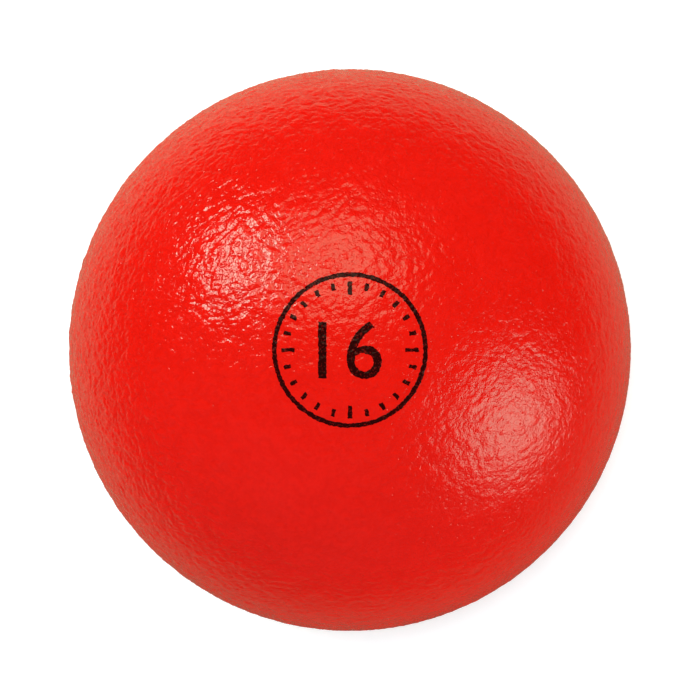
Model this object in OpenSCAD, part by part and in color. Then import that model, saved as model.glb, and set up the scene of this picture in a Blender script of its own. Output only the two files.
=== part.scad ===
// Soft dodgeball: a solid ball of springy foam inside a thin, tough, elastic skin.
// Millimetres, +Z up. The origin is the centre of the ball, and +Z leaves it through
// the middle of the printed mark.

/* [Ball] */
// Outside diameter of the finished ball, over its skin
ball_d = 160; // [100:5:250]

/* [Skin] */
// Thickness of the elastic skin, the same all round
skin_t = 0.6; // [0.2:0.1:3]

/* [Hidden] */
// Facets of each full circle in the preview
$fn = 144;
// The skin is cast on the foam and bonded to it, so the foam fills it with no clearance
core_d = ball_d - 2 * skin_t;

// Solid ball of soft open-celled foam that gives the dodgeball its bounce and its weight
module foam_core() {
    color("lightgoldenrodyellow")
        sphere(d = core_d);
}

// Unbroken elastic shell, with no seam and no valve, whose inside is the outside of the core
module skin() {
    color("red")
        difference() {
            sphere(d = ball_d);
            sphere(d = core_d);
        }
}

foam_core();
skin();
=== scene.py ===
"""Soft dodgeball: a ball of springy foam in a glossy, pebbled elastic skin with a printed mark.

The ball lies on a pale table with its printed mark up, and the camera looks straight down on it.
Everything is in metres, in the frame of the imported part: +Z up, origin at the centre of the ball.
"""

import logging
import math
from dataclasses import dataclass, field
from enum import Enum
from typing import Optional, Union

import bmesh
import bpy
from mathutils import Matrix, Vector


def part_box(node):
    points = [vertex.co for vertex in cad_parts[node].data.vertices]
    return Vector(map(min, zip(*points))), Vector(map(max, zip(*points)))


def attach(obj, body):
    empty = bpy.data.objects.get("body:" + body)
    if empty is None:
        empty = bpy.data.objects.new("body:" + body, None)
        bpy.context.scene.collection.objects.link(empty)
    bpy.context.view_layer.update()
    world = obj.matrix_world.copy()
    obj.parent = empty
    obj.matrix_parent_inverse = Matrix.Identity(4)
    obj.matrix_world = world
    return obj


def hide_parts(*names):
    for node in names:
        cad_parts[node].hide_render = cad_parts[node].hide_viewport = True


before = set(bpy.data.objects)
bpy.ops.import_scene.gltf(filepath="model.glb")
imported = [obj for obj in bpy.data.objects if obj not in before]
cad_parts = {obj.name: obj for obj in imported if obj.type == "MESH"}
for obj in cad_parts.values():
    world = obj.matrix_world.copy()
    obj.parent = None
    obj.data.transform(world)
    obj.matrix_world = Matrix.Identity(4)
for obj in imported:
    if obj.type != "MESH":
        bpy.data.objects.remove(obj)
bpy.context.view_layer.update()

MM = 0.001
ROOT = "root"
# middle of what a Noise Texture puts out
NOISE_MEAN = 0.5
# a place times this has lost its height
FLATTENED = (1.0, 1.0, 0.0)
# attribute of the skin's mesh, from 0 in creases to 1 on tops, the mask of the painted shade in the creases
RELIEF_SHARE = "relief"
LOG = logging.getLogger("dodgeball")

Socket = bpy.types.NodeSocket
Sockets = bpy.types.bpy_prop_collection
Feed = Union[Socket, float, tuple]


class Side(Enum):
    """The two ends of a node group's sockets."""

    INPUT = "INPUT"
    OUTPUT = "OUTPUT"


class TreeKind(Enum):
    """The kinds of node tree that are built here."""

    SHADER = "ShaderNodeTree"
    GEOMETRY = "GeometryNodeTree"


class SocketKind(Enum):
    """What a group's socket carries."""

    NUMBER = "NodeSocketFloat"
    COUNT = "NodeSocketInt"
    VECTOR = "NodeSocketVector"
    FINISH = "NodeSocketMaterial"
    SHAPE = "NodeSocketGeometry"


class MixKind(Enum):
    """What can be mixed."""

    NUMBERS = "FLOAT"
    COLOURS = "RGBA"


Inputs = dict[str, tuple[SocketKind, object]]
Outputs = dict[str, SocketKind]
SHAPE_OUT: Outputs = {"Geometry": SocketKind.SHAPE}


class Wiring:
    """Adds nodes to one tree and joins them."""

    def __init__(self, tree: bpy.types.NodeTree) -> None:
        """Takes the shader or geometry node tree that the nodes go into."""
        self.tree = tree

    def feed(self, socket: Socket, value: Feed) -> None:
        """Joins a socket to another one, or gives it a constant.

        Args:
            socket: The input socket.
            value: An output socket, a number or a tuple of numbers.
        """
        if isinstance(value, bpy.types.NodeSocket):
            self.tree.links.new(value, socket)
        else:
            socket.default_value = value

    def add(self, kind: str, settings: Optional[dict] = None, **feeds: Feed) -> bpy.types.Node:
        """Adds one node.

        Args:
            kind: Blender's name of the node type.
            settings: Properties of the node.
            feeds: Input socket names, with underscores for spaces, and what feeds them.

        Returns:
            The new node.
        """
        node = self.tree.nodes.new(kind)
        for name, value in (settings or {}).items():
            setattr(node, name, value)
        for name, value in feeds.items():
            wanted = name.replace("_", " ").strip()
            socket = next(s for s in node.inputs if s.name == wanted and s.enabled)
            self.feed(socket, value)
        return node

    def in_order(self, kind: str, settings: dict, *feeds: Feed) -> bpy.types.Node:
        """Adds one node and feeds its inputs in their order.

        Args:
            kind: Blender's name of the node type.
            settings: Properties of the node.
            feeds: What feeds the first inputs.

        Returns:
            The new node.
        """
        node = self.add(kind, settings)
        for socket, value in zip(node.inputs, feeds):
            self.feed(socket, value)
        return node

    def math(self, operation: str, *numbers: Feed) -> Socket:
        """Works out a number from others, by Blender's name of the operation."""
        return self.in_order("ShaderNodeMath", {"operation": operation}, *numbers).outputs[0]

    def vector_node(self, operation: str, *vectors: Feed) -> bpy.types.Node:
        """Adds a Vector Math node, by Blender's name of the operation."""
        return self.in_order("ShaderNodeVectorMath", {"operation": operation}, *vectors)

    def vector(self, operation: str, *vectors: Feed) -> Socket:
        """Works out a vector from one or two vectors, by Blender's name of the operation."""
        return self.vector_node(operation, *vectors).outputs["Vector"]

    def stretched(self, direction: Feed, length: Feed) -> Socket:
        """Scales a vector.

        Args:
            direction: The vector.
            length: What it is multiplied by.

        Returns:
            The socket that holds the scaled vector.
        """
        node = self.vector_node("SCALE", direction)
        self.feed(node.inputs["Scale"], length)
        return node.outputs["Vector"]

    def dot(self, first: Feed, second: Feed) -> Socket:
        """Multiplies two vectors into a number."""
        return self.vector_node("DOT_PRODUCT", first, second).outputs["Value"]

    def length(self, vector: Feed) -> Socket:
        """Measures a vector."""
        return self.vector_node("LENGTH", vector).outputs["Value"]

    def noise(self, place: Feed, size: Feed, detail: float) -> bpy.types.Node:
        """Adds a Noise Texture of a real feature size and so many finer octaves, about NOISE_MEAN."""
        scale = self.math("DIVIDE", 1.0, size)
        return self.add("ShaderNodeTexNoise", Vector=place, Scale=scale, Detail=detail)

    def mixed(self, share: Feed, first: Feed, second: Feed, kind: MixKind = MixKind.COLOURS) -> Socket:
        """Mixes two colours or numbers, by the share of the second."""
        node = self.add("ShaderNodeMix", {"data_type": kind.value}, Factor=share, A=first, B=second)
        return next(socket for socket in node.outputs if socket.enabled)

    def ranged(self, value: Feed, low: float, high: float, to_low: float, to_high: float) -> Socket:
        """Maps a range of values to another one smoothly, and clamps it.

        Args:
            value: What is mapped.
            low: Value that gives to_low.
            high: Value that gives to_high.
            to_low: Result at low.
            to_high: Result at high.

        Returns:
            The socket that holds the mapped value.
        """
        smooth = {"interpolation_type": "SMOOTHSTEP"}
        return self.in_order("ShaderNodeMapRange", smooth, value, low, high, to_low, to_high).outputs[0]

    def joined(self, *shapes: Socket) -> Socket:
        """Joins shapes into one.

        Args:
            shapes: The geometry sockets.

        Returns:
            The socket that holds them all.
        """
        node = self.tree.nodes.new("GeometryNodeJoinGeometry")
        for shape in shapes:
            self.tree.links.new(shape, node.inputs[0])
        return node.outputs[0]

    def finished(self, shape: Socket, finish: Socket) -> Socket:
        """Makes a shape real and gives it its material."""
        real = self.add("GeometryNodeRealizeInstances", Geometry=shape).outputs[0]
        return self.add("GeometryNodeSetMaterial", Geometry=real, Material=finish).outputs[0]


def new_group(
    name: str, kind: TreeKind, inputs: Inputs, outputs: Outputs
) -> tuple[Wiring, Sockets, Sockets]:
    """Makes an empty node group with named sockets.

    Args:
        name: Name of the group.
        kind: Kind of tree.
        inputs: Kind and value of each input, by its name, with None for no value.
        outputs: Kind of each output, by its name.

    Returns:
        What adds nodes to the group, the sockets that give its inputs, and those that take its outputs.
    """
    tree = bpy.data.node_groups.new(name, kind.value)
    for title, (carried, value) in inputs.items():
        socket = tree.interface.new_socket(name=title, in_out=Side.INPUT.value, socket_type=carried.value)
        if value is not None:
            socket.default_value = value
    for title, carried in outputs.items():
        tree.interface.new_socket(name=title, in_out=Side.OUTPUT.value, socket_type=carried.value)
    source = tree.nodes.new("NodeGroupInput")
    result = tree.nodes.new("NodeGroupOutput")
    return Wiring(tree), source.outputs, result.inputs


def seen_straight(wires: Wiring, path: Sockets) -> Socket:
    """Gives 1 for a ray from the camera, straight or through glass, and 0 for any other."""
    return wires.math("MAXIMUM", path["Is Camera Ray"], path["Is Transmission Ray"])


@dataclass(frozen=True)
class Relief:
    """The pebbled relief that the sprayed skin takes from the foam under it.

    Attributes:
        mean_fold: Mean height of the folded noise that makes the pebbles.
        lean: Direction in which the relief grows deeper, by its own length.
        middle_share: Share of the depths that holds half way along the lean.
        crease: Height at and under which a place counts as a crease.
        crest: Height at and over which it counts as a top.
        low: Deepest place.
        high: Highest place.
        margin: How far the mean surface lies under the ball's nominal outside.
    """

    pebble: float = 3.4 * MM
    pebble_depth: float = 0.58 * MM
    wrinkle: float = 1.3 * MM
    wrinkle_depth: float = 0.20 * MM
    grain: float = 0.70 * MM
    grain_depth: float = 0.32 * MM
    swell: float = 5.0 * MM
    swell_depth: float = 0.22 * MM
    mean_fold: float = 0.1
    middle_share: float = 0.99
    lean: tuple = (-0.32, 0.15, 0.0)
    crease: float = -0.10 * MM
    crest: float = 0.12 * MM
    low: float = -0.40 * MM
    high: float = 0.36 * MM
    margin: float = 0.15 * MM
    group_name: str = "Skin relief"

    def folds(self, wires: Wiring, place: Socket, size: Socket) -> Socket:
        """Makes rounded pebbles that meet in sharp creases, 0 on the mean."""
        swing = wires.math("SUBTRACT", wires.noise(place, size, 0.0).outputs[0], NOISE_MEAN)
        return wires.math("SUBTRACT", wires.math("ABSOLUTE", swing), self.mean_fold)

    def group(self) -> bpy.types.NodeTree:
        """Builds, once, the geometry node group that gives the height at a place.

        Returns:
            A group from Position to Height, in metres, and Share, from 0 in creases to 1 on tops.
        """
        known = bpy.data.node_groups.get(self.group_name)
        if known:
            return known
        number = SocketKind.NUMBER
        inputs = {
            "Position": (SocketKind.VECTOR, None),
            "Pebble Size": (number, self.pebble),
            "Pebble Depth": (number, self.pebble_depth),
            "Wrinkle Size": (number, self.wrinkle),
            "Wrinkle Depth": (number, self.wrinkle_depth),
            "Grain Size": (number, self.grain),
            "Grain Depth": (number, self.grain_depth),
            "Swell Size": (number, self.swell),
            "Swell Depth": (number, self.swell_depth),
        }
        outputs = {"Height": number, "Share": number}
        wires, sizes, result = new_group(self.group_name, TreeKind.GEOMETRY, inputs, outputs)
        place = sizes["Position"]
        pebbles = self.folds(wires, place, sizes["Pebble Size"])
        height = wires.math("MULTIPLY", pebbles, sizes["Pebble Depth"])
        for layer in ("Swell", "Wrinkle", "Grain"):
            swing = wires.noise(place, sizes[f"{layer} Size"], 0.0).outputs[0]
            swing = wires.math("SUBTRACT", swing, NOISE_MEAN)
            height = wires.math("MULTIPLY_ADD", swing, sizes[f"{layer} Depth"], height)
        side = wires.dot(wires.vector("NORMALIZE", place), self.lean)
        height = wires.math("MULTIPLY", height, wires.math("ADD", side, self.middle_share))
        wires.feed(result["Share"], wires.ranged(height, self.crease, self.crest, 0.0, 1.0))
        height = wires.math("MAXIMUM", height, self.low)
        wires.feed(result["Height"], wires.math("MINIMUM", height, self.high))
        return wires.tree


@dataclass(frozen=True)
class FineGrain:
    """Shader group for what is finer than the modelled relief: grain, pinholes and mottling.

    Attributes:
        pore: Spacing of the pinholes.
        pore_floor: Radius of a pinhole's floor, as a share of the spacing.
        pore_rim: Radius of its rim, as a share of the spacing.
        pore_depth: Its depth, as a share of the grain's height.
        mottle_detail: Finer octaves of the mottling.
    """

    size: float = 0.46 * MM
    pore: float = 2.0 * MM
    pore_floor: float = 0.07
    pore_rim: float = 0.21
    pore_depth: float = 0.9
    mottle: float = 9.0 * MM
    mottle_detail: float = 3.0
    group_name: str = "Fine grain"

    def group(self) -> bpy.types.NodeTree:
        """Builds, once, the shader node group.

        Returns:
            A group from sizes to Height and Mottle, each from 0 to 1 outside the pinholes.
        """
        known = bpy.data.node_groups.get(self.group_name)
        if known:
            return known
        number = SocketKind.NUMBER
        inputs = {
            "Grain Size": (number, self.size),
            "Pore Spacing": (number, self.pore),
            "Mottle Size": (number, self.mottle),
        }
        outputs = {"Height": number, "Mottle": number}
        wires, sizes, result = new_group(self.group_name, TreeKind.SHADER, inputs, outputs)
        place = wires.add("ShaderNodeTexCoord").outputs["Object"]
        grain = wires.noise(place, sizes["Grain Size"], 0.0).outputs[0]
        density = wires.math("DIVIDE", 1.0, sizes["Pore Spacing"])
        spots = wires.add("ShaderNodeTexVoronoi", {"feature": "F1"}, Vector=place, Scale=density)
        pores = wires.ranged(spots.outputs["Distance"], self.pore_floor, self.pore_rim, 1.0, 0.0)
        mottle = wires.noise(place, sizes["Mottle Size"], self.mottle_detail).outputs[0]
        wires.feed(result["Height"], wires.math("MULTIPLY_ADD", pores, -self.pore_depth, grain))
        wires.feed(result["Mottle"], mottle)
        return wires.tree


@dataclass(frozen=True)
class Finish:
    """A finish: a Principled surface whose sockets are fed by nodes."""

    name: str

    def wire(self, wires: Wiring, shader: bpy.types.Node) -> None:
        """Feeds the material's Principled BSDF."""
        raise NotImplementedError

    def material(self) -> bpy.types.Material:
        """Builds, once, the material.

        Returns:
            The material of this name.
        """
        known = bpy.data.materials.get(self.name)
        if known:
            return known
        made = bpy.data.materials.new(self.name)
        made.use_nodes = True
        wires = Wiring(made.node_tree)
        self.wire(wires, made.node_tree.nodes["Principled BSDF"])
        return made


@dataclass(frozen=True)
class TexturedFinish(Finish):
    """A finish whose roughness and bump change over the surface.

    Attributes:
        roughness: Mean roughness.
        rough_swing: How far apart its lowest and highest roughness are.
        fine_depth: Depth of its bump.
    """

    roughness: float
    rough_swing: float
    fine_depth: float

    def texture(self, wires: Wiring, shader: bpy.types.Node, mottle: Socket, height: Socket) -> None:
        """Feeds the shader's roughness and bump.

        Args:
            wires: The material's tree.
            shader: Its Principled BSDF.
            mottle: Pattern of the roughness, from 0 to 1.
            height: Pattern of the bump, from 0 to 1.
        """
        lowest = self.roughness - self.rough_swing / 2
        rough = wires.math("MULTIPLY_ADD", mottle, self.rough_swing, lowest)
        wires.feed(shader.inputs["Roughness"], rough)
        bump = wires.add("ShaderNodeBump", Strength=1.0, Distance=self.fine_depth, Height=height)
        wires.feed(shader.inputs["Normal"], bump.outputs["Normal"])


@dataclass(frozen=True)
class ElasticSkinFinish(TexturedFinish):
    """Glossy red elastic coat.

    Attributes:
        red: Colour on the tops of the relief, where the mottling is high.
        shade_and_mottle_red: Darker red, painted into the creases as shade, and reached where the random
            mottling is low.
        crease_shade_share: How much the painted crease shade counts in mixing the two, against the mottling.
        gloss_level: Strength of the gloss, on Blender's scale from 0 to 1.
    """

    name: str = "glossy_red_coat"
    roughness: float = 0.09
    rough_swing: float = 0.08
    fine_depth: float = 0.08 * MM
    red: tuple = (0.872, 0.0090, 0.0038, 1.0)
    shade_and_mottle_red: tuple = (0.79, 0.0074, 0.0030, 1.0)
    crease_shade_share: float = 0.6
    ior: float = 1.5
    gloss_level: float = 0.625
    gloss_tint: tuple = (0.25, 1.0, 1.0, 1.0)

    def wire(self, wires: Wiring, shader: bpy.types.Node) -> None:
        """Feeds the shader with the coat's colour, with painted shade in the creases, its gloss and fine
        grain.

        Args:
            wires: The material's tree.
            shader: Its Principled BSDF.
        """
        grain = wires.add("ShaderNodeGroup", {"node_tree": FineGrain().group()})
        relief = wires.add("ShaderNodeAttribute", {"attribute_name": RELIEF_SHARE}).outputs["Fac"]
        # painted shade: the creases of the relief take the darker red, mixed with random mottling of the
        # tone
        shade = wires.math("MULTIPLY", grain.outputs["Mottle"], 1.0 - self.crease_shade_share)
        shade = wires.math("MULTIPLY_ADD", relief, self.crease_shade_share, shade)
        wires.feed(shader.inputs["Base Color"], wires.mixed(shade, self.shade_and_mottle_red, self.red))
        self.texture(wires, shader, grain.outputs["Mottle"], grain.outputs["Height"])
        shader.inputs["IOR"].default_value = self.ior
        shader.inputs["Specular IOR Level"].default_value = self.gloss_level
        shader.inputs["Specular Tint"].default_value = self.gloss_tint


@dataclass(frozen=True)
class InkFinish(TexturedFinish):
    """Thin black printing ink that takes the skin's grain.

    Attributes:
        black: Colour where the film is whole.
        worn: Colour in the pinholes and lows of the grain, where it is thin.
        thin_low: Height of the grain at and under which the film is thin.
        thin_high: Height at and over which it is whole.
        gloss_level: Strength of the gloss, on Blender's scale from 0 to 1.
    """

    name: str = "black_printing_ink"
    roughness: float = 0.24
    rough_swing: float = 0.1
    fine_depth: float = 0.04 * MM
    black: tuple = (0.024, 0.0007, 0.0006, 1.0)
    worn: tuple = (0.12, 0.003, 0.002, 1.0)
    thin_low: float = 0.28
    thin_high: float = 0.40
    ior: float = 1.45
    gloss_level: float = 0.17

    def wire(self, wires: Wiring, shader: bpy.types.Node) -> None:
        """Feeds the shader with the ink's colour, gloss and fine grain.

        Args:
            wires: The material's tree.
            shader: Its Principled BSDF.
        """
        grain = wires.add("ShaderNodeGroup", {"node_tree": FineGrain().group()})
        thin = wires.ranged(grain.outputs["Height"], self.thin_low, self.thin_high, 1.0, 0.0)
        wires.feed(shader.inputs["Base Color"], wires.mixed(thin, self.black, self.worn))
        self.texture(wires, shader, grain.outputs["Mottle"], grain.outputs["Height"])
        shader.inputs["IOR"].default_value = self.ior
        shader.inputs["Specular IOR Level"].default_value = self.gloss_level


@dataclass(frozen=True)
class OpenFoamFinish(TexturedFinish):
    """Pale foam with open cells.

    Attributes:
        cell: Size of one cell.
        wall: Half the width of a cell's wall, as a share of the cell.
        slope: Distance from the wall's middle where the cell is deepest, as a share of it.
        mottle_cells: Size of the mottling, in cells.
        mottle_detail: Finer octaves of the mottling.
    """

    name: str = "open_cell_foam"
    roughness: float = 0.90
    rough_swing: float = 0.1
    fine_depth: float = 0.35 * MM
    cell: float = 1.1 * MM
    wall: float = 0.08
    slope: float = 0.3
    mottle_cells: float = 6.0
    mottle_detail: float = 3.0
    pale: tuple = (0.86, 0.79, 0.60, 1.0)
    # painted shade: the insides of the cells are coloured darker, as if in shade
    hollow: tuple = (0.50, 0.42, 0.27, 1.0)

    def wire(self, wires: Wiring, shader: bpy.types.Node) -> None:
        """Feeds the shader with the foam's cells, painted darker inside as their shade.

        Args:
            wires: The material's tree.
            shader: Its Principled BSDF.
        """
        place = wires.add("ShaderNodeTexCoord").outputs["Object"]
        kind = {"feature": "DISTANCE_TO_EDGE"}
        cells = wires.add("ShaderNodeTexVoronoi", kind, Vector=place, Scale=1 / self.cell)
        hollow = wires.ranged(cells.outputs["Distance"], self.wall, self.slope, 0.0, 1.0)
        mottle = wires.noise(place, self.mottle_cells * self.cell, self.mottle_detail).outputs[0]
        # painted shade: the colour darkens from the cell walls into the cells
        wires.feed(shader.inputs["Base Color"], wires.mixed(hollow, self.pale, self.hollow))
        self.texture(wires, shader, mottle, wires.math("SUBTRACT", 1.0, hollow))


@dataclass(frozen=True)
class TableFinish(Finish):
    """Matt white table top that the camera sees as white as the page, save a painted shadow at the ball's
    foot, and clear from below.

    Attributes:
        mottle: Size of its faint mottling.
        mottle_detail: Finer octaves of the mottling.
        mottle_range: Lowest and highest value of the noise that counts.
        tone_range: Lowest and highest white.
        near_gloss: Value of the painted light that the table shows in the ball's gloss, beside the ball.
        far_gloss: Its value far from the ball, where the painted light has faded.
        near_reach: Distance up to which the painted light is as bright as beside the ball.
        far_reach: Distance from which it is as dark as far away.
        gloss_lean: Direction towards which the painted light in the gloss is brighter, by its own length.
        gloss_tint: Warm tint of that painted light.
        painted_shadow_lift: Light added for the camera within the painted shadow at the ball's foot, less
            than outside it, so that a darker disc lies over the table's real shadow.
        open_lift: Light added for the camera out of the painted shadow.
        painted_shadow_core: Distance up to which the painted shadow is at its deepest.
        open_reach: Distance from which there is no painted shadow.
        painted_shadow_middle: Middle of the painted shadow, which leans away from the brightest lamp.
    """

    name: str = "pale_table"
    roughness: float = 0.9
    mottle: float = 4.0 * MM
    mottle_detail: float = 2.0
    mottle_range: tuple = (0.3, 0.7)
    tone_range: tuple = (0.91, 0.93)
    near_gloss: float = 0.39
    far_gloss: float = 0.03
    near_reach: float = 100.0 * MM
    far_reach: float = 445.0 * MM
    gloss_lean: tuple = (-0.20, 0.44, 0.0)
    gloss_tint: tuple = (1.0, 0.86, 0.62)
    painted_shadow_lift: tuple = (0.03, 0.11, 0.11, 1.0)
    open_lift: tuple = (0.36, 0.48, 0.52, 1.0)
    painted_shadow_core: float = 74.0 * MM
    open_reach: float = 89.5 * MM
    painted_shadow_middle: tuple = (2.4 * MM, -3.0 * MM, 0.0)

    def wire(self, wires: Wiring, shader: bpy.types.Node) -> None:
        """Feeds the shader with the table's white, the painted light it shows in the gloss, its lift to the
        page and a painted shadow at the ball's foot.

        Args:
            wires: The material's tree.
            shader: Its Principled BSDF.
        """
        path = wires.add("ShaderNodeLightPath").outputs
        place = wires.add("ShaderNodeTexCoord").outputs["Object"]
        mottle = wires.noise(place, self.mottle, self.mottle_detail).outputs[0]
        tone = wires.ranged(mottle, *self.mottle_range, *self.tone_range)
        flat = wires.vector("MULTIPLY", place, FLATTENED)
        # painted reflection: in the ball's gloss the table shows a colour that fades away from the ball,
        # standing in for falling light
        white = wires.mixed(path["Is Glossy Ray"], tone, self.painted_reflection(wires, flat))
        wires.feed(shader.inputs["Base Color"], white)
        shader.inputs["Roughness"].default_value = self.roughness
        shader.inputs["Specular IOR Level"].default_value = 0.0
        # painted shadow: the camera's lift is smaller near the ball's foot, darkening a disc there over the
        # table's real shadow
        painted_shadow_distance = wires.length(wires.vector("SUBTRACT", flat, self.painted_shadow_middle))
        openness = wires.ranged(painted_shadow_distance, self.painted_shadow_core, self.open_reach, 0.0, 1.0)
        wires.feed(shader.inputs["Emission Color"], wires.mixed(openness, self.painted_shadow_lift, self.open_lift))
        wires.feed(shader.inputs["Emission Strength"], seen_straight(wires, path))
        self.clear_below(wires, shader, path["Is Camera Ray"])

    def painted_reflection(self, wires: Wiring, flat: Socket) -> Socket:
        """Works out the table's colour in the ball's gloss: painted light that fades away from the ball,
        brighter to one side and tinted warm.

        Args:
            wires: The material's tree.
            flat: The place on the table, from the point under the ball.

        Returns:
            The socket that holds the colour.
        """
        lean = wires.dot(wires.vector("NORMALIZE", flat), self.gloss_lean)
        distance = wires.length(flat)
        glossy = wires.ranged(distance, self.near_reach, self.far_reach, self.near_gloss, self.far_gloss)
        glossy = wires.math("MULTIPLY", glossy, wires.math("ADD", lean, 1.0))
        return wires.stretched(self.gloss_tint, glossy)

    def clear_below(self, wires: Wiring, shader: bpy.types.Node, camera_ray: Socket) -> None:
        """Lets a camera under the table see through it.

        Args:
            wires: The material's tree.
            shader: Its Principled BSDF.
            camera_ray: The socket that is 1 for a ray from the camera.
        """
        behind = wires.add("ShaderNodeNewGeometry").outputs["Backfacing"]
        unseen = wires.math("MULTIPLY", behind, camera_ray)
        clear = wires.add("ShaderNodeBsdfTransparent").outputs[0]
        both = wires.add("ShaderNodeMixShader", Fac=unseen)
        wires.feed(both.inputs[1], shader.outputs[0])
        wires.feed(both.inputs[2], clear)
        wires.feed(wires.tree.nodes["Material Output"].inputs["Surface"], both.outputs[0])


def grown(
    name: str, tree: bpy.types.NodeTree, inputs: Inputs, start: Optional[bpy.types.Mesh] = None
) -> bpy.types.Object:
    """Runs a geometry node tree and keeps the plain mesh that comes out.

    Args:
        name: Name of the new object.
        tree: The geometry node tree.
        inputs: Kind and value of each of its inputs, by its name.
        start: Mesh that goes into the tree, if it takes one.

    Returns:
        An object at the origin with the finished mesh and no modifier.
    """
    seed = bpy.data.objects.new(f"{name}_seed", start or bpy.data.meshes.new(f"{name}_seed"))
    bpy.context.scene.collection.objects.link(seed)
    modifier = seed.modifiers.new("Shape", "NODES")
    modifier.node_group = tree
    for item in tree.interface.items_tree:
        if item.item_type == "SOCKET" and item.in_out == Side.INPUT.value:
            value = inputs[item.name][1]
            if value is not None:
                modifier[item.identifier] = value
    graph = bpy.context.evaluated_depsgraph_get()
    evaluated = seed.evaluated_get(graph)
    mesh = bpy.data.meshes.new_from_object(evaluated, preserve_all_data_layers=True, depsgraph=graph)
    mesh.name = name
    seed.modifiers.remove(modifier)
    bpy.data.objects.remove(seed)
    made = bpy.data.objects.new(name, mesh)
    bpy.context.scene.collection.objects.link(made)
    return made


@dataclass
class Skin:
    """The elastic skin: a closed shell with a pebbled outside and a smooth inside.

    Attributes:
        outer_steps: Faces of the outside along one edge of the cube that is rounded into it.
        inner_level: Level of the sphere that makes the inside.
    """

    radius: float
    inner_radius: float
    relief: Relief = field(default_factory=Relief)
    outer_steps: int = 320
    inner_level: int = 6
    finish: ElasticSkinFinish = field(default_factory=ElasticSkinFinish)

    def inputs(self) -> Inputs:
        """Lists what goes into the shell's tree."""
        return {
            "Outer Radius": (SocketKind.NUMBER, self.radius),
            "Inner Radius": (SocketKind.NUMBER, self.inner_radius),
            "Outer Steps": (SocketKind.COUNT, self.outer_steps),
            "Inner Level": (SocketKind.COUNT, self.inner_level),
            "Finish": (SocketKind.FINISH, self.finish.material()),
        }

    def rounded_cube(self, wires: Wiring, steps: Socket, radius: Socket) -> Socket:
        """Makes a ball out of a cube, with its faces spread evenly by angle.

        Args:
            wires: The shell's tree.
            steps: Faces along one edge of the cube.
            radius: Radius of the ball.

        Returns:
            The socket that holds the ball.
        """
        count = wires.math("ADD", steps, 1.0)
        counts = {"Vertices_X": count, "Vertices_Y": count, "Vertices_Z": count}
        cube = wires.add("GeometryNodeMeshCube", Size=(2.0, 2.0, 2.0), **counts)
        place = wires.add("GeometryNodeInputPosition").outputs[0]
        even = wires.vector("TANGENT", wires.stretched(place, math.pi / 4))
        rounded = wires.stretched(wires.vector("NORMALIZE", even), radius)
        ball = wires.add("GeometryNodeSetPosition", Geometry=cube.outputs["Mesh"], Position=rounded)
        return ball.outputs[0]

    def tree(self) -> bpy.types.NodeTree:
        """Builds the geometry node tree of the shell.

        Returns:
            The tree, which needs no mesh to start from.
        """
        wires, sizes, result = new_group("Skin shell", TreeKind.GEOMETRY, self.inputs(), SHAPE_OUT)
        mean = wires.math("SUBTRACT", sizes["Outer Radius"], self.relief.margin)
        ball = self.rounded_cube(wires, sizes["Outer Steps"], mean)
        place = wires.add("GeometryNodeInputPosition").outputs[0]
        height = wires.add("GeometryNodeGroup", {"node_tree": self.relief.group()}, Position=place)
        marked = wires.add(
            "GeometryNodeStoreNamedAttribute",
            {"data_type": "FLOAT", "domain": "POINT"},
            Geometry=ball,
            Name=RELIEF_SHARE,
            Value=height.outputs["Share"],
        )
        outward = wires.stretched(wires.vector("NORMALIZE", place), height.outputs["Height"])
        outside = wires.add("GeometryNodeSetPosition", Geometry=marked.outputs[0], Offset=outward)
        radius, level = sizes["Inner Radius"], sizes["Inner Level"]
        cavity = wires.add("GeometryNodeMeshIcoSphere", Radius=radius, Subdivisions=level)
        inside = wires.add("GeometryNodeFlipFaces", Mesh=cavity.outputs["Mesh"])
        shell = wires.joined(inside.outputs[0], outside.outputs[0])
        smooth = wires.add("GeometryNodeSetShadeSmooth", Geometry=shell)
        wires.feed(result["Geometry"], wires.finished(smooth.outputs[0], sizes["Finish"]))
        return wires.tree

    def build(self) -> bpy.types.Object:
        """Makes the shell and puts it in the place of the plain solid.

        Returns:
            The skin piece.
        """
        piece = grown("pebbled_skin", self.tree(), self.inputs())
        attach(piece, ROOT)
        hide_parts("skin")
        return piece


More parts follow.
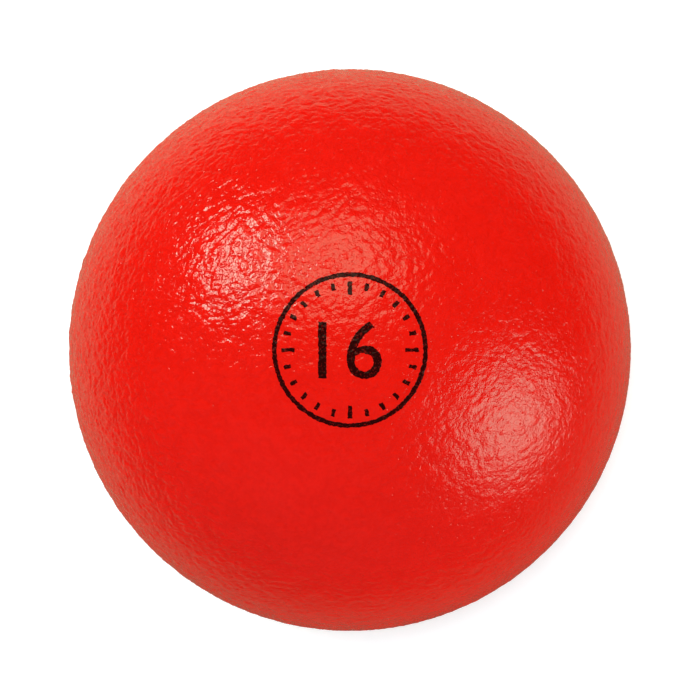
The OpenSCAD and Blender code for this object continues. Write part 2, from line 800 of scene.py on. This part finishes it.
@dataclass
class FoamCore:
    """The solid foam ball inside the skin, with shallow open hollows at its surface.

    Attributes:
        level: Level of the sphere that it is made from.
        hollow: Size of one hollow.
        hollow_depth: Depth of the deepest.
        hollow_detail: Finer octaves of the hollows.
    """

    radius: float
    level: int = 7
    hollow: float = 5.0 * MM
    hollow_depth: float = 0.25 * MM
    hollow_detail: float = 2.0
    finish: OpenFoamFinish = field(default_factory=OpenFoamFinish)

    def inputs(self) -> Inputs:
        """Lists what goes into the foam ball's tree."""
        return {
            "Radius": (SocketKind.NUMBER, self.radius),
            "Level": (SocketKind.COUNT, self.level),
            "Hollow Size": (SocketKind.NUMBER, self.hollow),
            "Hollow Depth": (SocketKind.NUMBER, self.hollow_depth),
            "Finish": (SocketKind.FINISH, self.finish.material()),
        }

    def tree(self) -> bpy.types.NodeTree:
        """Builds the geometry node tree of the foam ball.

        Returns:
            The tree, which needs no mesh to start from.
        """
        wires, sizes, result = new_group("Foam ball", TreeKind.GEOMETRY, self.inputs(), SHAPE_OUT)
        ball = wires.add("GeometryNodeMeshIcoSphere", Radius=sizes["Radius"], Subdivisions=sizes["Level"])
        place = wires.add("GeometryNodeInputPosition").outputs[0]
        hollow = wires.noise(place, sizes["Hollow Size"], self.hollow_detail).outputs[0]
        depth = wires.math("MULTIPLY", wires.math("MULTIPLY", hollow, -1.0), sizes["Hollow Depth"])
        inward = wires.stretched(wires.vector("NORMALIZE", place), depth)
        ground = wires.add("GeometryNodeSetPosition", Geometry=ball.outputs["Mesh"], Offset=inward)
        smooth = wires.add("GeometryNodeSetShadeSmooth", Geometry=ground.outputs[0])
        wires.feed(result["Geometry"], wires.finished(smooth.outputs[0], sizes["Finish"]))
        return wires.tree

    def build(self) -> bpy.types.Object:
        """Makes the foam ball and puts it in the place of the plain solid.

        Returns:
            The foam piece.
        """
        piece = grown("foam_ball", self.tree(), self.inputs())
        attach(piece, ROOT)
        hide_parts("foam_core")
        return piece


@dataclass
class PrintMark:
    """The printed mark: a plain size number in a ring of dial ticks, in one closed film of ink.

    Attributes:
        number_steps: Points along each curve of the number.
        long_every: One tick in so many is long.
        tick_gap: Gap between the ring and its ticks.
        ring_steps: Points round the ring.
        film: How far the ink stands proud of the skin.
        rooting: How deep it is rooted in the skin.
        weld: Distance within which its points are merged.
        net: Mesh of the net that it is cut along.
        edge_size: Size of the waves in its edges.
        edge_drift: Twice the most that an edge strays.
        edge_detail: Finer octaves of the waves.
    """

    radius: float
    relief: Relief = field(default_factory=Relief)
    number: str = "16"
    number_height: float = 15.5 * MM
    number_steps: int = 10
    ring_radius: float = 21.0 * MM
    ring_line: float = 1.25 * MM
    tick_count: int = 24
    long_every: int = 6
    tick_gap: float = 1.3 * MM
    tick_line: float = 1.05 * MM
    short_tick: float = 2.0 * MM
    long_tick: float = 3.6 * MM
    ring_steps: int = 180
    film: float = 0.045 * MM
    rooting: float = 0.035 * MM
    weld: float = 0.0001 * MM
    net: float = 0.25 * MM
    edge_size: float = 0.9 * MM
    edge_drift: float = 0.7 * MM
    edge_detail: float = 1.0
    finish: InkFinish = field(default_factory=InkFinish)

    def number_mesh(self) -> bpy.types.Mesh:
        """Draws the number flat, centred on the origin.

        Returns:
            A flat mesh of the number.
        """
        curve = bpy.data.curves.new("number", "FONT")
        curve.body = self.number
        curve.align_x = "CENTER"
        curve.align_y = "CENTER"
        curve.resolution_u = self.number_steps
        holder = bpy.data.objects.new("number", curve)
        bpy.context.scene.collection.objects.link(holder)
        evaluated = holder.evaluated_get(bpy.context.evaluated_depsgraph_get())
        mesh = bpy.data.meshes.new_from_object(evaluated)
        bpy.data.objects.remove(holder)
        return mesh

    def flat_shapes(self) -> bmesh.types.BMesh:
        """Lays out the number, the ring and its ticks on a flat sheet.

        Returns:
            The flat shapes about the origin.
        """
        sheet = bmesh.new()
        sheet.from_mesh(self.number_mesh())
        xs = [v.co.x for v in sheet.verts]
        ys = [v.co.y for v in sheet.verts]
        middle = Vector(((min(xs) + max(xs)) / 2, (min(ys) + max(ys)) / 2, 0.0))
        size = self.number_height / (max(ys) - min(ys))
        settled = Matrix.Scale(size, 4) @ Matrix.Translation(-middle)
        bmesh.ops.transform(sheet, matrix=settled, verts=sheet.verts)
        self.add_ring(sheet)
        for index in range(self.tick_count):
            self.add_tick(sheet, index)
        return sheet

    def add_ring(self, sheet: bmesh.types.BMesh) -> None:
        """Adds the outer ring line.

        Args:
            sheet: The flat shapes so far.
        """
        angles = [math.tau * k / self.ring_steps for k in range(self.ring_steps)]
        circles = []
        for radius in (self.ring_radius - self.ring_line, self.ring_radius):
            points = [(radius * math.cos(a), radius * math.sin(a), 0.0) for a in angles]
            circles.append([sheet.verts.new(point) for point in points])
        inner, outer = circles
        for k in range(self.ring_steps):
            after = (k + 1) % self.ring_steps
            sheet.faces.new((inner[k], outer[k], outer[after], inner[after]))

    def add_tick(self, sheet: bmesh.types.BMesh, index: int) -> None:
        """Adds one tick inside the ring.

        Args:
            sheet: The flat shapes so far.
            index: Number of the tick, from the top, clockwise.
        """
        turn = Matrix.Rotation(-math.tau * index / self.tick_count, 4, "Z")
        reach = self.long_tick if index % self.long_every == 0 else self.short_tick
        top = self.ring_radius - self.ring_line - self.tick_gap
        half = self.tick_line / 2
        corners = ((-half, top - reach), (half, top - reach), (half, top), (-half, top))
        sheet.faces.new([sheet.verts.new(turn @ Vector((x, y, 0.0))) for x, y in corners])

    def cut_to_net(self, sheet: bmesh.types.BMesh) -> None:
        """Cuts the flat shapes along a square net, so that they can follow the relief.

        Args:
            sheet: The flat shapes.
        """
        reach = self.ring_radius + self.net
        count = math.ceil(reach / self.net)
        for axis in (Vector((1.0, 0.0, 0.0)), Vector((0.0, 1.0, 0.0))):
            for step in range(-count, count + 1):
                everything = sheet.verts[:] + sheet.edges[:] + sheet.faces[:]
                line = axis * (step * self.net)
                bmesh.ops.bisect_plane(sheet, geom=everything, plane_co=line, plane_no=axis)

    def inputs(self) -> Inputs:
        """Lists what goes into the film's tree."""
        return {
            "Geometry": (SocketKind.SHAPE, None),
            "Ball Radius": (SocketKind.NUMBER, self.radius),
            "Film": (SocketKind.NUMBER, self.film),
            "Root": (SocketKind.NUMBER, self.rooting),
            "Edge Size": (SocketKind.NUMBER, self.edge_size),
            "Edge Drift": (SocketKind.NUMBER, self.edge_drift),
            "Finish": (SocketKind.FINISH, self.finish.material()),
        }

    def wrapped(self, wires: Wiring, sizes: Sockets) -> Socket:
        """Works out where a point of the flat shapes comes to lie, rooted in the skin.

        Args:
            wires: The film's tree.
            sizes: The tree's inputs.

        Returns:
            The socket that holds the place.
        """
        mean = wires.math("SUBTRACT", sizes["Ball Radius"], self.relief.margin)
        place = wires.add("GeometryNodeInputPosition").outputs[0]
        drift = wires.noise(place, sizes["Edge Size"], self.edge_detail).outputs["Color"]
        drift = wires.vector("MULTIPLY", wires.vector("SUBTRACT", drift, (NOISE_MEAN,) * 3), FLATTENED)
        place = wires.vector("ADD", place, wires.stretched(drift, sizes["Edge Drift"]))
        angle = wires.math("DIVIDE", wires.length(place), mean)
        aside = wires.stretched(wires.vector("NORMALIZE", place), wires.math("SINE", angle))
        lift = wires.add("ShaderNodeCombineXYZ", Z=wires.math("COSINE", angle))
        direction = wires.vector("ADD", aside, lift.outputs[0])
        surface = wires.stretched(direction, mean)
        height = wires.add("GeometryNodeGroup", {"node_tree": self.relief.group()}, Position=surface)
        buried = wires.math("SUBTRACT", height.outputs["Height"], sizes["Root"])
        return wires.vector("ADD", surface, wires.stretched(direction, buried))

    def tree(self) -> bpy.types.NodeTree:
        """Builds the geometry node tree that wraps the flat shapes round the ball as a closed film.

        Returns:
            The tree, which takes the flat shapes.
        """
        wires, sizes, result = new_group("Ink film", TreeKind.GEOMETRY, self.inputs(), SHAPE_OUT)
        place = self.wrapped(wires, sizes)
        under = wires.add("GeometryNodeSetPosition", Geometry=sizes["Geometry"], Position=place)
        here = wires.add("GeometryNodeInputPosition").outputs[0]
        thickness = wires.math("ADD", sizes["Film"], sizes["Root"])
        rise = wires.stretched(wires.vector("NORMALIZE", here), thickness)
        film = wires.add("GeometryNodeExtrudeMesh", Mesh=under.outputs[0], Offset=rise, Individual=False)
        body, top = film.outputs["Mesh"], film.outputs["Top"]
        smooth = wires.add("GeometryNodeSetShadeSmooth", Geometry=body, Shade_Smooth=top)
        bottom = wires.add("GeometryNodeFlipFaces", Mesh=under.outputs[0])
        both = wires.joined(bottom.outputs[0], smooth.outputs[0])
        closed = wires.add("GeometryNodeMergeByDistance", Geometry=both, Distance=self.weld)
        wires.feed(result["Geometry"], wires.finished(closed.outputs[0], sizes["Finish"]))
        return wires.tree

    def build(self) -> bpy.types.Object:
        """Makes the ink film on the skin.

        Returns:
            The print piece.
        """
        sheet = self.flat_shapes()
        self.cut_to_net(sheet)
        bmesh.ops.remove_doubles(sheet, verts=sheet.verts, dist=self.weld)
        flat = bpy.data.meshes.new("flat_print")
        sheet.to_mesh(flat)
        sheet.free()
        piece = grown("print_mark", self.tree(), self.inputs(), flat)
        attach(piece, ROOT)
        return piece


@dataclass(frozen=True)
class Lamp:
    """One soft, oval studio lamp, aimed at the ball and fading towards its edge.

    Attributes:
        azimuth: Degrees about +Z, from +X.
        elevation: Degrees above the ball's middle.
        radiance: Brightness of the middle of its cloth.
        bright_share: Share of its size within which the cloth doesn't fade.
        fade: Power of the fade, where more is a narrower glow.
    """

    name: str
    azimuth: float
    elevation: float
    width: float
    height: float
    radiance: float
    tint: tuple
    fade: float = 1.0
    bright_share: float = 0.0
    distance: float = 1.0

    def build(self) -> bpy.types.Object:
        """Hangs the lamp.

        Returns:
            The lamp object.
        """
        flat = math.cos(math.radians(self.elevation))
        around = math.radians(self.azimuth)
        rise = math.sin(math.radians(self.elevation))
        direction = Vector((flat * math.cos(around), flat * math.sin(around), rise))
        data = bpy.data.lights.new(self.name, "AREA")
        data.shape = "ELLIPSE"
        data.size = self.width
        data.size_y = self.height
        area = self.width * self.height * (math.pi / 4)
        # a flat lamp sends out pi times its area times its radiance
        data.energy = math.pi * area * self.radiance
        data.color = self.tint
        lamp = bpy.data.objects.new(self.name, data)
        lamp.location = direction * self.distance
        turn = (-direction).to_track_quat("-Z", "Y")
        lamp.rotation_euler = turn.to_euler()
        lamp.visible_camera = False
        bpy.context.scene.collection.objects.link(lamp)
        self.soften(data, lamp.location, turn @ Vector((1.0, 0.0, 0.0)), turn @ Vector((0.0, 1.0, 0.0)))
        return lamp

    def soften(self, data: bpy.types.Light, centre: Vector, across: Vector, along: Vector) -> None:
        """Fades the lamp's cloth from its middle to its edge.

        Args:
            data: The lamp's data.
            centre: Middle of its cloth.
            across: Direction of its width.
            along: Direction of its height.
        """
        data.use_nodes = True
        wires = Wiring(data.node_tree)
        place = wires.add("ShaderNodeNewGeometry").outputs["Position"]
        offset = wires.vector("SUBTRACT", place, tuple(centre))
        shares = []
        for axis, size in ((across, self.width), (along, self.height)):
            reach = wires.dot(offset, tuple(axis * (2.0 / size)))
            shares.append(wires.math("POWER", wires.math("ABSOLUTE", reach), 2.0))
        far = wires.math("SQRT", wires.math("ADD", *shares))
        cloth = wires.math("POWER", wires.ranged(far, self.bright_share, 1.0, 1.0, 0.0), self.fade)
        wires.feed(data.node_tree.nodes["Emission"].inputs["Strength"], cloth)


@dataclass
class Studio:
    """The pale table, the lamps, the room and the camera.

    Attributes:
        frame_px: Width of the picture, in pixels.
        outline_px: Radius of the ball's outline in it.
        sensor: Width of the camera's sensor, in millimetres.
        room_fill: Fill from all sides.
        ceiling_fill: Fill from above, which is taken away from below.
        walls: Degrees about +Z and strength of the fill from each side.
        room_gloss_lean: Direction from which the room shows in the gloss, by its own length.
    """

    ball_radius: float
    table_radius: float = 0.42
    table_steps: int = 96
    table_finish: TableFinish = field(default_factory=TableFinish)
    camera_distance: float = 1.2
    frame_px: float = 700.0
    outline_px: float = 281.2
    sensor: float = 36.0
    room_fill: float = 0.15
    ceiling_fill: float = 0.30
    walls: tuple = ((0.0, 0.20), (60.0, 0.61), (120.0, 0.31), (180.0, 0.32), (240.0, 0.91), (300.0, 0.12))
    room_gloss_lean: tuple = (0.0, -0.07, 0.0)
    lamps: tuple = (
        Lamp(
            name="lamp_upper_left",
            azimuth=142.0,
            elevation=33.4,
            width=0.70,
            height=0.70,
            radiance=15.6,
            tint=(0.70, 0.90, 0.74),
            fade=1.8,
        ),
        Lamp(
            name="lamp_top",
            azimuth=97.0,
            elevation=55.8,
            width=1.15,
            height=1.05,
            radiance=2.75,
            tint=(0.92, 0.90, 0.60),
            bright_share=0.1,
        ),
        Lamp(
            name="lamp_right",
            azimuth=-24.0,
            elevation=17.6,
            width=1.46,
            height=1.75,
            radiance=4.45,
            tint=(0.88, 0.90, 0.72),
            fade=2.4,
        ),
    )

    def build_table(self) -> bpy.types.Object:
        """Makes the round table top that the ball rests on.

        Returns:
            The table object.
        """
        sheet = bmesh.new()
        steps = self.table_steps
        bmesh.ops.create_circle(sheet, cap_ends=True, radius=self.table_radius, segments=steps)
        bmesh.ops.translate(sheet, vec=(0.0, 0.0, -self.ball_radius), verts=sheet.verts)
        mesh = bpy.data.meshes.new("table_top")
        sheet.to_mesh(mesh)
        sheet.free()
        mesh.materials.append(self.table_finish.material())
        table = bpy.data.objects.new("table_top", mesh)
        bpy.context.scene.collection.objects.link(table)
        return table

    def build_room(self) -> bpy.types.World:
        """Makes the room: white to the camera, a soft fill on the ball, and dim in its gloss.

        Returns:
            The world.
        """
        world = bpy.data.worlds.new("white_room")
        bpy.context.scene.world = world
        world.use_nodes = True
        wires = Wiring(world.node_tree)
        backdrop = world.node_tree.nodes["Background"]
        backdrop.inputs["Color"].default_value = (1.0, 1.0, 1.0, 1.0)
        path = wires.add("ShaderNodeLightPath").outputs
        way = wires.add("ShaderNodeTexCoord").outputs["Generated"]
        fill = wires.math("MULTIPLY_ADD", wires.dot(way, (0.0, 0.0, 1.0)), self.ceiling_fill, self.room_fill)
        for azimuth, strength in self.walls:
            around = math.radians(azimuth)
            facing = wires.math("MAXIMUM", wires.dot(way, (math.cos(around), math.sin(around), 0.0)), 0.0)
            fill = wires.math("MULTIPLY_ADD", wires.math("MULTIPLY", facing, facing), strength, fill)
        gloss = wires.dot(way, self.room_gloss_lean)
        fill = wires.mixed(path["Is Glossy Ray"], fill, gloss, MixKind.NUMBERS)
        fill = wires.math("MAXIMUM", fill, 0.0)
        strength = wires.math("MAXIMUM", seen_straight(wires, path), fill)
        wires.feed(backdrop.inputs["Strength"], strength)
        return world

    def build_camera(self) -> bpy.types.Object:
        """Sets the camera straight above the ball, so that the outline has its size in the picture.

        Returns:
            The camera object.
        """
        data = bpy.data.cameras.new("overhead_camera")
        half_outline = math.tan(math.asin(self.ball_radius / self.camera_distance))
        data.sensor_width = self.sensor
        data.lens = self.sensor * self.outline_px / self.frame_px / half_outline
        camera = bpy.data.objects.new("overhead_camera", data)
        camera.location = (0.0, 0.0, self.camera_distance)
        bpy.context.scene.collection.objects.link(camera)
        bpy.context.scene.camera = camera
        return camera

    def build(self) -> None:
        """Sets up the whole studio."""
        self.build_camera()
        self.build_table()
        self.build_room()
        for lamp in self.lamps:
            lamp.build()
        bpy.context.scene.view_settings.view_transform = "Standard"


def triangles(piece: bpy.types.Object) -> int:
    """Counts the triangles that a piece's faces make."""
    return sum(len(face.vertices) - 2 for face in piece.data.polygons)


def main() -> None:
    """Builds the ball and its studio."""
    logging.basicConfig(level=logging.INFO, format="%(name)s: %(message)s")
    skin_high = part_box("skin")[1]
    core_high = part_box("foam_core")[1]
    radius = skin_high.z
    parts = (
        FoamCore(radius=core_high.z),
        Skin(radius=radius, inner_radius=core_high.z),
        PrintMark(radius=radius),
    )
    for part in parts:
        piece = part.build()
        LOG.info("%s has %d triangles", piece.name, triangles(piece))
    Studio(ball_radius=radius).build()


if __name__ == "__main__":
    main()
